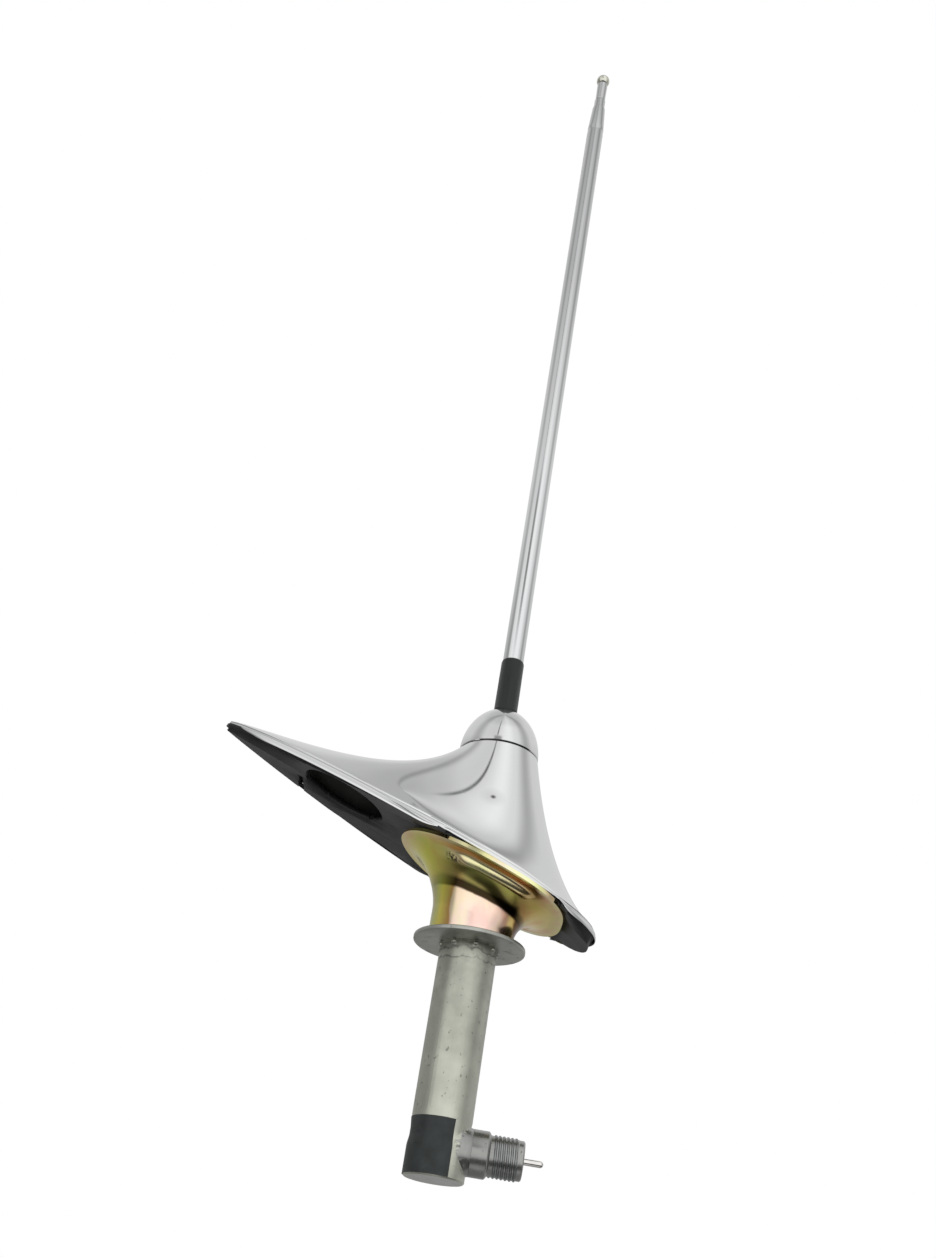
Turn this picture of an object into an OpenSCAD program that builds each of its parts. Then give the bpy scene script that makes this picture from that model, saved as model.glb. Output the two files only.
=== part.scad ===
// Car wing antenna with a swept teardrop base, an under-panel clamp and a telescopic mast.
// Millimetres, +Z up along the mast. The origin is where the mast's axis meets the panel seat.
// The seat slopes down towards +X, and it is crowned across Y like the wing it sits on.

/* [Panel seat] */
// Slope of the seat under the base, in degrees
slope = 22.1; // [15:0.1:28]
// Crown radius of the seat across the base
crown_r = 135; // [110:1:200]

/* [Base] */
// Length of the swept tail, along the slope
tail_len = 104.5; // [90:0.5:115]
// Length of the round front, along the slope
front_len = 43.6; // [38:0.1:48]
// Half of the greatest width of the base
half_w = 24.3; // [22:0.1:28]
// Radius of the collar under the cap nut
collar_r = 14.2; // [13.5:0.1:15]
// Height of the collar above the origin
collar_z = 42.6; // [40:0.1:48]
// Height of the plain edge all round the base
edge_h = 1.3; // [1:0.1:3]
// Wall of the hollow base
base_wall = 2.1; // [1.6:0.1:2.4]

/* [Gasket] */
// Thickness of the rubber under the base
gasket_t = 1.3; // [1.1:0.1:2.4]
// How far the rubber shows past the base
gasket_lip = 1; // [0.3:0.1:1.2]
// Depth at the tail end of the ridge that the clamp's rim presses on
land_t = 1.7; // [0.5:0.1:2]
// Extra depth of the wedge at the front end
front_pad_t = 3.7; // [2:0.1:5]
// Extra depth of the pad under the tail
tail_pad_t = 1.2; // [0.5:0.1:2]

/* [Under-panel clamp] */
// Outer radius of the clamp's neck
neck_r = 14.1; // [13:0.1:14.5]
// Half length of the clamp's rim, along the slope
rim_half_len = 31.1; // [29:0.1:32]
// Half width of the clamp's rim
rim_half_w = 26; // [24:0.1:27]
// Sheet thickness of the clamp
clamp_t = 1.2; // [1:0.1:1.6]
// Height of the ridge pressed in each side of the clamp
ridge_h = 1.7; // [0.5:0.1:2]

/* [Body] */
// Outer diameter of the body tube
tube_d = 19; // [18:0.1:20]
// Height of the flange's lower face
flange_z = -27; // [-32:0.5:-26]
// Diameter of the support flange
flange_d = 37.4; // [34:0.1:42]
// Thickness of the support flange
flange_t = 1.5; // [1.2:0.1:2]
// Height of the closed lower end
foot_z = -99.3; // [-120:0.1:-98]
// Outer diameter of the threaded stem
stem_d = 17.5; // [17:0.1:18]
// Wall of the cast body
body_wall = 2; // [1.5:0.1:2.5]

/* [Cable outlet] */
// Height of the outlet's axis
outlet_z = -89.8; // [-90.5:0.1:-89]
// Diameter of the smooth shoulder
shoulder_d = 13.9; // [13:0.1:14.5]
// Diameter over the outlet's thread
outlet_thread_d = 12.7; // [12:0.1:13]
// Distance from the mast's axis to the outlet's end
outlet_x = 26.3; // [25:0.1:30]
// Diameter of the contact pin
pin_d = 2; // [1.6:0.1:2.6]
// Distance from the mast's axis to the pin's tip
pin_x = 32.6; // [31:0.1:36]
// Radius of the bore in the outlet
outlet_bore_r = 4.6; // [4:0.1:5]

/* [Cap nut and sleeve] */
// Height of the domed cap nut
dome_h = 18.2; // [16:0.1:20]
// Thickness of the seal under the nut
seal_t = 0.5; // [0.3:0.1:0.8]
// Outer diameter of the black insulator sleeve
sleeve_d = 8.5; // [8.4:0.1:9.4]
// Height of the sleeve's upper end
sleeve_top_z = 82.3; // [76:0.1:90]

/* [Mast] */
// Outer diameter of the outer tube
outer_d = 7.7; // [7.6:0.1:8]
// Height of the outer tube's swaged mouth
outer_mouth_z = 401.6; // [380:0.1:420]
// Outer diameter of the middle tube
middle_d = 5.3; // [5.1:0.1:5.4]
// Height of the middle tube's mouth, pushed home
middle_mouth_z = 408.4; // [406:0.1:412]
// Diameter of the inner rod
inner_d = 3.5; // [3.2:0.1:3.6]
// Diameter of the tip ball
ball_d = 6.4; // [6:0.1:8]
// Wall of both mast tubes
mast_wall = 0.45; // [0.35:0.01:0.5]
// Radial play of each sliding fit
play = 0.05; // [0.02:0.01:0.08]

/* [Hidden] */

$fn = 96;
STEPS = 72;             // directions round the base and the clamp
SPAN = 400;             // longer than any piece, for cutters
LIFT = 0.04;            // gap that keeps curved faces from biting

collar_end_z = collar_z + seal_t;
sleeve_in_z = collar_end_z + dome_h * sqrt(1 - pow(sleeve_d / 2 / collar_r, 2));
stem_top_z = collar_end_z + 7.5;
ledge_z = stem_top_z + 3;
neck_z = flange_z + flange_t;
stem_r = stem_d / 2;
stem_bore_r = stem_r - body_wall;
tube_r = tube_d / 2;
outer_r = outer_d / 2;
outer_bore_r = outer_r - mast_wall;
middle_r = middle_d / 2;
middle_bore_r = middle_r - mast_wall + 0.05;
inner_r = inner_d / 2;
foot_top_z = outlet_z - 0.5;
waist_r = tube_r - 0.4; // the tube is a little thinner just above its foot
waist = [
    [tube_r, foot_top_z], [waist_r, foot_top_z + 2.6],
    [waist_r, foot_top_z + 5], [tube_r, foot_top_z + 9]
];
boss_r = shoulder_d / 2;
boss_x = tube_r + 0.6;
boss_low_x = 4.7;
taper_h = 15.6;         // length of the outer tube's swaged taper
guide_h = 10;           // length of each guide bush
mast_foot_z = 38;       // lower end of the outer tube
ferrule_low_z = mast_foot_z - 14;
ferrule_step_z = mast_foot_z - 8;
middle_low_z = mast_foot_z + 9;
inner_low_z = mast_foot_z + 11;
rod_top_z = middle_mouth_z + 2;
tip_ball_z = middle_mouth_z + 15.2;
tail_solid = 7;         // the hollow stops this far before the tail's tip
plug_r = tube_r - 1.5;  // the closing disc in the foot
stake_r = 0.9;          // eight stakes hold the flange on the tube
rim_shift = 1.8;        // the clamp's rim reaches a little further to the front
rim_front = rim_shift + rim_half_len;
pad_s = rim_front + 0.5;
pad_tilt = atan(front_pad_t / (front_len - pad_s));
rim_tilt = -atan(land_t / (2 * rim_half_len));
rim_crown_r = 4 * crown_r;  // the clamp's rim is flatter across than the seat
tail_pad_s = -25;       // the tail pad starts here and reaches its depth over tail_ramp
tail_ramp = 36;
ridge_from = 0.6;       // along the clamp's lines the ridge lies between these two,
ridge_to = 0.82;        // and the valley beyond it ends at valley_to
valley_to = 0.94;
neck_rise = 8;          // how far each line of the clamp follows the neck before it turns
rim_run = 9;            // how far each line runs level with the rim
pin_r = pin_d / 2;
shank_r = 1.25;         // the contact pin is thicker inside its insulator
shank_x = 10;
conductor_r = 1;
lead_r = 0.8;           // the conductor's short run into the outlet

// A point of the sloped frame (along, across, above the slope) in the part's own frame
function seat(s, y, h) = [
    s * cos(slope) + h * sin(slope),
    y,
    -s * sin(slope) + h * cos(slope)
];

// Drop of the crowned seat at a distance from its centre line
function crown(y) = crown_r - sqrt(crown_r * crown_r - y * y);

// Height of the crowned seat at a place in plan
function seat_z(x, y) = -tan(slope) * x - crown(y) / cos(slope);

// Outline of the base: half an ellipse in front, and a tail that narrows to a soft point.
// The angle a runs round the base from the front, and grow widens the outline evenly.
function tail_run(u) =
    let (lead = PI / 2 * front_len / tail_len)
    lead * u + (3 - 2 * lead) * u * u + (lead - 2) * u * u * u;
function tail_half_w(q) = pow(max(1 - pow(q, 1.8), 0), 0.85);
function outline(a) =
    let (b = a <= 180 ? a : 360 - a, side = a <= 180 ? 1 : -1)
    b <= 90
        ? [front_len * cos(b), side * half_w * sin(b)]
        : let (q = tail_run(b / 90 - 1))
          [-tail_len * q, side * half_w * tail_half_w(q)];
function outline_out(a) =
    let (p = outline(a + 1), m = outline(a - 1 < 0 ? a + 359 : a - 1), d = p - m)
    [d[1], -d[0]] / norm(d);
function grown(a, grow) = outline(a) + grow * outline_out(a);
function plan(grow) = [for (i = [0:STEPS - 1]) grown(i * 360 / STEPS, grow)];

// Skin of the base: each line runs from the collar (u = 0) to the edge (u = 1) on a flaring curve
function flare(u, a) =
    let (
        end = pow(cos(a), 2),
        bend = cos(a) < 0 ? 1 - 0.24 * end : 1 + 0.36 * end,
        fall = cos(a) < 0 ? 1.9 - 0.1 * end : 1.9 - 0.8 * end
    )
    pow(1 - u, bend) / (1 + fall * u);
function skin(u, a, foot, ring_r, top_z, low_h) =
    let (
        edge = seat(foot[0], foot[1], -crown(foot[1])),
        ring = [ring_r * cos(a), ring_r * sin(a)],
        x = ring[0] + u * (edge[0] - ring[0]),
        y = ring[1] + u * (edge[1] - ring[1]),
        floor_z = seat_z(x, y),
        top_h = top_z - seat_z(ring[0], ring[1])
    )
    [x, y, floor_z + low_h + (top_h - low_h) * flare(u, a)];

// Closes a stack of rings, each a list of STEPS points, with a fan to a point at each end
module ring_stack(rings, low_mid, high_mid) {
    n = STEPS;
    last = len(rings) - 1;
    points = concat([for (r = rings) each r], [low_mid, high_mid]);
    low_fan = [for (i = [0:n - 1]) [(last + 1) * n, i, (i + 1) % n]];
    high_fan = [for (i = [0:n - 1]) [(last + 1) * n + 1, last * n + (i + 1) % n, last * n + i]];
    polyhedron(points, concat(ring_sides(last, n), low_fan, high_fan), convexity = 8);
}

// Joins a closed loop of rings, such as the two faces of a bent sheet
module ring_loop(rings) {
    loop = concat(rings, [rings[0]]);
    polyhedron([for (r = rings) each r], ring_sides(len(rings), STEPS, len(rings)), convexity = 8);
}

function ring_sides(last, n, wrap = 100000) = [
    for (j = [0:last - 1], i = [0:n - 1])
        let (k = (i + 1) % n, up = (j + 1) % wrap)
        each [[j * n + i, up * n + i, j * n + k], [j * n + k, up * n + i, up * n + k]]
];

function edge_at(a, grow, h) =
    let (p = grown(a, grow))
    seat(p[0], p[1], -crown(p[1])) + [0, 0, h];
function ring_of(f) = [for (i = [0:STEPS - 1]) f(i * 360 / STEPS)];

// Outline of the hollow, drawn in from the base's own outline
function hollow_foot(a) =
    let (
        p = outline(a),
        shrink = p[0] < 0 ? (tail_len - tail_solid) / tail_len : (front_len - base_wall) / front_len
    )
    [p[0] * shrink, p[1] * (half_w - base_wall) / half_w];

module ring_tube(r_out, r_in, low, high) {
    translate([0, 0, low])
        difference() {
            cylinder(r = r_out, h = high - low);
            translate([0, 0, -1])
                cylinder(r = r_in, h = high - low + 2);
        }
}

// Die-cast base: a hollow cone that flares into a swept teardrop
module base_bezel() {
    levels = [1, 0.93, 0.86, 0.78, 0.7, 0.61, 0.52, 0.43, 0.35, 0.27, 0.2, 0.14, 0.09, 0.04, 0];
    outer = concat(
        [
            ring_of(function (a) let (p = hollow_foot(a)) seat(p[0], p[1], -crown(p[1]))),
            ring_of(function (a) edge_at(a, 0.35, 0)),
            ring_of(function (a) edge_at(a, 0.5, 0.5)),
            ring_of(function (a) edge_at(a, 0.45, 0.95)),
            ring_of(function (a) edge_at(a, 0.1, 1.25))
        ],
        [for (u = levels) ring_of(function (a) skin(u, a, outline(a), collar_r, collar_z, edge_h))]
    );
    inner_r = collar_r - base_wall;
    inner_z = collar_z - 3.4;
    inner = concat(
        [ring_of(function (a) let (p = hollow_foot(a)) seat(p[0], p[1], -crown(p[1])) - [0, 0, 2])],
        [
            for (k = [0:2:len(levels) - 1])
                ring_of(function (a) skin(levels[k], a, hollow_foot(a), inner_r, inner_z, 0.3))
        ]
    );
    color("gainsboro")
        difference() {
            ring_stack(outer, [0, 0, 0], [0, 0, collar_z]);
            ring_stack(inner, [0, 0, -2], [0, 0, inner_z]);
            translate([0, 0, collar_z - 10])
                cylinder(r = stem_r + 0.1, h = 20);
        }
}

// A long bar along the slope, whose round top touches the point (s, 0, -depth)
module round_bar(r, s = 0, depth = 0, tilt = 0) {
    translate([s, 0, -depth])
        rotate([0, tilt, 0])
            translate([0, 0, -r])
                rotate([0, 90, 0])
                    cylinder(r = r, h = SPAN, center = true, $fn = 360);
}

// A plate that follows the crowned seat, between two depths under it
module seat_plate(top, bottom) {
    difference() {
        round_bar(crown_r - top, 0, top);
        round_bar(crown_r - bottom, 0, bottom);
    }
}

module upright(outline) {
    translate([0, 0, -40])
        linear_extrude(height = 80)
            polygon(outline);
}

// Rubber under the plate, of a given outline, that deepens along the slope from s onwards
module wedge_pad(outline, depth, s, tilt) {
    difference() {
        intersection() {
            seat_plate(gasket_t - 0.01, gasket_t + depth);
            upright(outline);
        }
        round_bar(crown_r - gasket_t, s, gasket_t, tilt);
    }
}

// Moulded rubber: a thick pad under the tail, two openings, a ridge and a two-lipped front end
module gasket() {
    color("#1d1d1f")
        rotate([0, slope, 0])
            difference() {
                union() {
                    intersection() {
                        seat_plate(LIFT, gasket_t);
                        upright(plan(gasket_lip));
                    }
                    wedge_pad(plan(gasket_lip - 1.2), tail_pad_t, tail_pad_s, -atan(tail_pad_t / tail_ramp));
                    wedge_pad(plan(gasket_lip - 0.5), 8, pad_s, pad_tilt);
                    difference() {
                        intersection() {
                            seat_plate(gasket_t - 0.01, gasket_t + 8);
                            upright(rim_plan(0.8));
                        }
                        upright(rim_plan(1.8));
                    }
                }
                intersection() {
                    upright(rim_plan(-0.6));
                    round_bar(rim_crown_r, rim_front, gasket_t, rim_tilt);
                }
                difference() {
                    upright(rim_plan(-2));
                    upright(plan(-0.4));
                }
                translate([0, 0, -40])
                    cylinder(r = neck_r + 2, h = 80);
                translate([-54.5, 0, -40])
                    linear_extrude(height = 80)
                        scale([1.72, 1])
                            circle(r = 9.2);
                translate([-74, 2.5, -40])
                    cube([2.4, 30, 80]);
            }
}

// Rim of the clamp: a rounded oblong, blunter in front, here in plan
function rim_outline(a, inset) =
    let (blunt = cos(a) < 0 ? 1.02 : 0.72)
    [
        rim_shift + (rim_half_len - inset) * sign(cos(a)) * pow(abs(cos(a)), blunt),
        (rim_half_w - inset) * sign(sin(a)) * pow(abs(sin(a)), blunt)
    ];
function rim_plan(inset) = [for (i = [0:STEPS - 1]) rim_outline(i * 360 / STEPS, inset)];
function rim_depth(s) = gasket_t + LIFT + land_t * (rim_front - s) / (2 * rim_half_len);
function rim_drop(y) = rim_crown_r - sqrt(rim_crown_r * rim_crown_r - y * y);
function rim_point(a, h) =
    let (p = rim_outline(a, 0))
    seat(p[0], p[1], h - rim_drop(p[1]) - rim_depth(p[0]));

// Each side of the clamp has a pressed ridge with a valley beyond it, and both fade at their ends
function bead(a, t) =
    let (
        b = a <= 180 ? a : 360 - a,
        fade = min(1, max(0, (sin(b + 8) - 0.78) / 0.16)),
        wave = t < ridge_from || t > valley_to ? 0
            : t < ridge_to ? -ridge_h * sin(180 * (t - ridge_from) / (ridge_to - ridge_from))
            : 0.2 * ridge_h * sin(180 * (t - ridge_to) / (valley_to - ridge_to))
    )
    wave * fade * fade * (3 - 2 * fade);

// One line of the clamp, from the top of its neck (t = 0) to its rim (t = 1)
function clamp_point(a, t, inset) =
    let (
        r = neck_r - inset,
        rim = rim_point(a, inset - clamp_t),
        mid = seat(0, 0, inset - clamp_t - rim_depth(0)),
        out = (rim - mid) / norm(rim - mid),
        p0 = [r * cos(a), r * sin(a), -20 - 4 * cos(a)],
        p1 = p0 + [0, 0, neck_rise],
        p2 = rim - rim_run * out,
        v = 1 - t
    )
    v * v * v * p0 + 3 * v * v * t * p1 + 3 * v * t * t * p2 + t * t * t * rim + [0, 0, bead(a, t)];

// Deep-drawn funnel that pulls up against the panel from below
module under_panel_clamp() {
    steps = concat([for (i = [0:5]) i / 10], [for (i = [0:10]) ridge_from + i * 0.035], [1]);
    last = len(steps) - 1;
    neck = function (inset) ring_of(function (a) [
        (neck_r - inset) * cos(a), (neck_r - inset) * sin(a), neck_z
    ]);
    under = [for (t = steps) ring_of(function (a) clamp_point(a, t, 0))];
    upper = [for (i = [0:last]) ring_of(function (a) clamp_point(a, steps[last - i], clamp_t))];
    color("#b5a34a")
        ring_loop(concat([neck(0)], under, upper, [neck(clamp_t)]));
}

// Round plate that the clamp's neck stands on
module support_flange() {
    color("#8b8d88")
        translate([0, 0, flange_z])
            rotate_extrude()
                polygon([
                    [stem_r, 0], [flange_d / 2 - 0.4, 0], [flange_d / 2, 0.4],
                    [flange_d / 2, flange_t - 0.4], [flange_d / 2 - 0.4, flange_t], [stem_r, flange_t]
                ]);
}

// Die-cast tube with the threaded stem above the flange and the foot at the outlet
module body_casting() {
    bore_low = foot_z + 2;
    color("#9a9b96")
        difference() {
            union() {
                rotate_extrude()
                    polygon(concat(
                        [[0, foot_z], [tube_r - 0.4, foot_z], [tube_r, foot_z + 0.4]],
                        waist,
                        [[tube_r, flange_z], [stem_r, flange_z], [stem_r, stem_top_z], [0, stem_top_z]]
                    ));
                translate([boss_low_x, 0, outlet_z])
                    rotate([0, 90, 0])
                        cylinder(r1 = boss_r + 1.2, r2 = boss_r, h = boss_x - boss_low_x);
                for (i = [0:7])
                    rotate([0, 0, i * 45 + 12])
                        translate([tube_r - 0.2, 0, flange_z - stake_r])
                            sphere(r = stake_r, $fn = 24);
            }
            translate([0, 0, bore_low])
                cylinder(r = stem_bore_r, h = SPAN);
            translate([0, 0, foot_z - 1])
                cylinder(r = plug_r, h = 3);
            translate([0, 0, outlet_z])
                rotate([0, 90, 0])
                    cylinder(r = outlet_bore_r, h = 40);
        }
}

// Domed nut on the stem, which clamps the whole stack
module cap_nut() {
    arc = [
        for (i = [0:24])
            let (b = i * 90 / 24, r = collar_r * cos(b))
            if (r > sleeve_d / 2) [r, collar_end_z + dome_h * sin(b)]
    ];
    color("gainsboro")
        rotate_extrude()
            polygon(concat(
                [[stem_r, collar_end_z]],
                arc,
                [[sleeve_d / 2, sleeve_in_z], [sleeve_d / 2, ledge_z], [stem_r, ledge_z]]
            ));
}

module cap_seal() {
    color("#1b1b1b")
        ring_tube(collar_r - 0.5, stem_r + 0.1, collar_z, collar_end_z);
}

// Black sleeve round the mast, with a flange that the nut traps on the stem
module insulator_sleeve() {
    r = sleeve_d / 2;
    color("#222324")
        rotate_extrude()
            polygon([
                [outer_r, stem_top_z], [stem_r - 0.3, stem_top_z], [stem_r - 0.3, ledge_z],
                [r, ledge_z], [r, sleeve_in_z], [r + 0.15, sleeve_in_z + 0.3],
                [r + 0.15, sleeve_in_z + 1], [r, sleeve_in_z + 1.4],
                [r - 0.05, sleeve_top_z - 0.7], [r - 0.35, sleeve_top_z], [outer_r, sleeve_top_z]
            ]);
}

module upper_bush() {
    color("ivory")
        ring_tube(stem_bore_r, outer_r, ferrule_step_z, stem_top_z);
}

module lower_bush() {
    color("ivory")
        ring_tube(stem_bore_r, conductor_r, -52, -47);
}

// Swaged tube end: a taper to a mouth that guides the next section
module mast_outer_tube() {
    taper_z = outer_mouth_z - taper_h;
    mouth_r = middle_r + 0.45;
    color("silver")
        rotate_extrude()
            polygon([
                [outer_bore_r, mast_foot_z], [outer_r, mast_foot_z], [outer_r, taper_z - 3],
                [outer_r - 0.15, taper_z - 2.4], [outer_r - 0.15, taper_z - 1.2], [outer_r, taper_z - 0.6],
                [mouth_r + 0.05, outer_mouth_z - 0.4], [mouth_r - 0.15, outer_mouth_z],
                [middle_r + play, outer_mouth_z], [middle_r + play, outer_mouth_z - 3.6],
                [outer_bore_r, taper_z]
            ]);
}

// Brass foot of the outer tube, which carries the signal to the conductor
module mast_ferrule() {
    color("#b89b55")
        rotate_extrude()
            polygon([
                [0, ferrule_low_z], [1.5, ferrule_low_z], [1.5, ferrule_step_z],
                [outer_r, ferrule_step_z], [outer_r, mast_foot_z], [outer_bore_r, mast_foot_z],
                [outer_bore_r, mast_foot_z + 8], [0, mast_foot_z + 8]
            ]);
}

module mast_middle_tube() {
    color("silver")
        rotate_extrude()
            polygon([
                [middle_bore_r, middle_low_z], [middle_r, middle_low_z], [middle_r, middle_mouth_z - 1],
                [middle_r - 0.25, middle_mouth_z], [inner_r + play, middle_mouth_z],
                [inner_r + play, middle_mouth_z - 2.3], [middle_bore_r, middle_mouth_z - 5]
            ]);
}

module middle_guide_bush() {
    color("#b08d57")
        ring_tube(outer_bore_r - play, middle_r, middle_low_z, middle_low_z + guide_h);
}

module mast_inner_rod() {
    color("silver")
        translate([0, 0, inner_low_z])
            cylinder(d = inner_d, h = rod_top_z - inner_low_z);
}

module inner_guide_bush() {
    color("#b08d57")
        ring_tube(middle_bore_r - play, inner_r, inner_low_z, inner_low_z + guide_h);
}

// Turned tip: a stem that widens like a trumpet, under a ball
module mast_tip() {
    low = middle_mouth_z + 0.1;
    ball_r = ball_d / 2;
    color("#c9c4b0")
        difference() {
            union() {
                rotate_extrude()
                    polygon([
                        [0, low], [2.1, low], [2.35, low + 0.4], [2.4, low + 4],
                        [2.75, tip_ball_z - 3.4], [2.85, tip_ball_z - 2],
                        [2.3, tip_ball_z - 1], [0, tip_ball_z]
                    ]);
                translate([0, 0, tip_ball_z])
                    sphere(r = ball_r);
            }
            translate([0, 0, low - 1])
                cylinder(d = inner_d, h = rod_top_z - low + 1);
        }
}

// Centre conductor, from the ferrule down to the outlet and out to the contact pin
module inner_conductor() {
    color("#b87333") {
        translate([0, 0, outlet_z])
            cylinder(r = conductor_r, h = ferrule_low_z - outlet_z);
        translate([0, 0, outlet_z])
            sphere(r = conductor_r, $fn = 32);
        translate([0, 0, outlet_z])
            rotate([0, 90, 0])
                cylinder(r = lead_r, h = shank_x);
    }
}

// Pressed disc that closes the foot
module end_plug() {
    color("#a3a49f")
        translate([0, 0, foot_z])
            cylinder(r = plug_r, h = 1.6);
}

// Turned coaxial outlet: a smooth shoulder and a threaded barrel
module outlet_shell() {
    t = outlet_thread_d / 2;
    color("#75777a")
        translate([0, 0, outlet_z])
            rotate([0, 90, 0])
                rotate_extrude()
                    polygon([
                        [outlet_bore_r, boss_x], [boss_r, boss_x], [boss_r, 15], [boss_r - 0.35, 15.4],
                        [t - 0.4, 16], [t, 16.5], [t, outlet_x - 2.3], [t - 0.9, outlet_x - 1.9],
                        [t - 0.9, outlet_x - 0.4], [t - 1.3, outlet_x], [outlet_bore_r, outlet_x]
                    ]);
}

module outlet_insulator() {
    color("ivory")
        translate([0, 0, outlet_z])
            rotate([0, 90, 0])
                ring_tube(outlet_bore_r, shank_r, 13, outlet_x - 0.6);
}

// Turned pin: a thicker shank in the insulator and a round-nosed tip
module contact_pin() {
    color("#c8ccc9")
        translate([0, 0, outlet_z])
            rotate([0, 90, 0])
                rotate_extrude()
                    polygon(concat(
                        [
                            [0, shank_x], [shank_r, shank_x],
                            [shank_r, outlet_x - 0.6], [pin_r, outlet_x - 0.6]
                        ],
                        [for (b = [0:15:90]) [pin_r * cos(b), pin_x - pin_r + pin_r * sin(b)]]
                    ));
}

// Thin blank label, wrapped round the near side of the foot and the tube above it
module blank_label() {
    low = [tube_r, foot_z + 0.4];
    high = [tube_r - 0.1, foot_top_z + 8];
    line = concat([low], [for (i = [0:2]) waist[i]], [high]);
    back = [for (i = [4:-1:0]) line[i]];
    color("#2a2c2f")
        rotate([0, 0, 168])
            rotate_extrude(angle = 128)
                polygon(concat([for (p = line) p + [LIFT, 0]], [for (p = back) p + [0.2, 0]]));
}

base_bezel();
gasket();
under_panel_clamp();
support_flange();
body_casting();
cap_nut();
cap_seal();
insulator_sleeve();
upper_bush();
lower_bush();
mast_outer_tube();
mast_ferrule();
mast_middle_tube();
middle_guide_bush();
mast_inner_rod();
inner_guide_bush();
mast_tip();
inner_conductor();
end_plug();
outlet_shell();
outlet_insulator();
contact_pin();
blank_label();
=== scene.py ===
# %% [markdown]
# # A telescopic car antenna
# The part is a wing antenna: a chrome mast of three sections, pushed home, on a swept
# teardrop base with a rubber gasket, a yellow zinc-plated clamp that pulls up from below,
# and a cast body tube with a coaxial outlet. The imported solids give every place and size.
# This lesson lays finished surfaces over them, one piece at a time.

# %% Load the fixed frame
import math

import bmesh
import bpy
from mathutils import Matrix, Vector


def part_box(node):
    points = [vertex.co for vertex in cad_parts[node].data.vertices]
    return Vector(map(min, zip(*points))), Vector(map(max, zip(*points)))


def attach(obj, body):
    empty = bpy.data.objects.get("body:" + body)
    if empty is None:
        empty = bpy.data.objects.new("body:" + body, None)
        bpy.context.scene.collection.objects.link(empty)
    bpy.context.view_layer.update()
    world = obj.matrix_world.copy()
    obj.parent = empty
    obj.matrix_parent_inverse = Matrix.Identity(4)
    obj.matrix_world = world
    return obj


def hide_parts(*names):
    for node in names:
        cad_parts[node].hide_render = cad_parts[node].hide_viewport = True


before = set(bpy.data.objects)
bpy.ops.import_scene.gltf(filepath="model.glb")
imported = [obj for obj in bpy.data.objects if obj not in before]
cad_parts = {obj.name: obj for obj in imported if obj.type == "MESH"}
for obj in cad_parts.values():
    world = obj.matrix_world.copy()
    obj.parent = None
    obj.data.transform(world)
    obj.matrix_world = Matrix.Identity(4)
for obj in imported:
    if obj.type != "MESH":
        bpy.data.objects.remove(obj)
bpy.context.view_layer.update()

# %% [markdown]
# Blender works in metres and the drawing was made in millimetres, so one constant turns
# one into the other.

# %% Sizes read from the solids
MM = 0.001


def low(node):
    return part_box(node)[0] / MM


def high(node):
    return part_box(node)[1] / MM


flange_low = low("support_flange").z
flange_high = high("support_flange").z
flange_r = high("support_flange").x
collar_high = low("cap_seal").z
nut_low = low("cap_nut").z
nut_r = high("cap_nut").x
sleeve_high = high("insulator_sleeve").z
print("flange", round(flange_low, 2), round(flange_high, 2), "collar", round(collar_high, 2))

# %% [markdown]
# A bmesh is a mesh that is being worked on. Each piece ends the same way: its normals
# are turned outwards, edges sharper than a given angle stay crisp, and the result
# becomes an object that rides on a body and stands for a node of the frame.

# %% A helper that hands a finished bmesh to the frame


def keep(bm, name, body, material, nodes=(), sharp=32.0):
    bmesh.ops.remove_doubles(bm, verts=bm.verts, dist=0.002 * MM)
    bmesh.ops.recalc_face_normals(bm, faces=bm.faces)
    mesh = bpy.data.meshes.new(name)
    bm.to_mesh(mesh)
    bm.free()
    mesh.shade_smooth()
    mesh.set_sharp_from_angle(angle=math.radians(sharp))
    piece = bpy.data.objects.new(name, mesh)
    bpy.context.scene.collection.objects.link(piece)
    mesh.materials.append(material)
    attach(piece, body)
    if nodes:
        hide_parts(*nodes)
    print(f"{name}: {len(mesh.polygons)} faces on {body}")
    return piece


# %% [markdown]
# ## Finishes
# Every finish starts from the Principled shader. A small helper adds a node and sets its
# inputs by name, and a second one joins two nodes. Others turn a length into a share from
# 0 to 1, lay colours along a share, and blend two colours. Patterns read Object
# coordinates, so they stay put on the piece, and the scale numbers are features per metre.

# %% Helpers for materials


def start_finish(name, colour, metallic, roughness):
    made = bpy.data.materials.new(name)
    made.use_nodes = True
    shader = made.node_tree.nodes["Principled BSDF"]
    shader.inputs["Base Color"].default_value = (*colour, 1)
    shader.inputs["Metallic"].default_value = metallic
    shader.inputs["Roughness"].default_value = roughness
    return made, shader


def add(made, kind, **values):
    node = made.node_tree.nodes.new(kind)
    for key, value in values.items():
        if key in node.inputs:
            node.inputs[key].default_value = value
        else:
            setattr(node, key, value)
    return node


def join(made, source, output, target, socket):
    made.node_tree.links.new(source.outputs[output], target.inputs[socket])


def place(made, stretch=(1, 1, 1)):
    spot = add(made, "ShaderNodeTexCoord")
    mapping = add(made, "ShaderNodeMapping")
    mapping.inputs["Scale"].default_value = stretch
    join(made, spot, "Object", mapping, "Vector")
    return mapping


def noise(made, mapping, scale, detail=4.0):
    speck = add(made, "ShaderNodeTexNoise", Scale=scale, Detail=detail)
    join(made, mapping, "Vector", speck, "Vector")
    return speck


def ramp(made, source, output, stops):
    band = add(made, "ShaderNodeValToRGB")
    points = band.color_ramp.elements
    while len(points) < len(stops):
        points.new(0.5)
    for point, (at, colour) in zip(points, stops):
        point.position = at
        point.color = (*colour, 1)
    join(made, source, output, band, "Fac")
    return band


def grey(value):
    return (value, value, value)


def scaled(colour, factor):
    return tuple(c * factor for c in colour)


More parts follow.
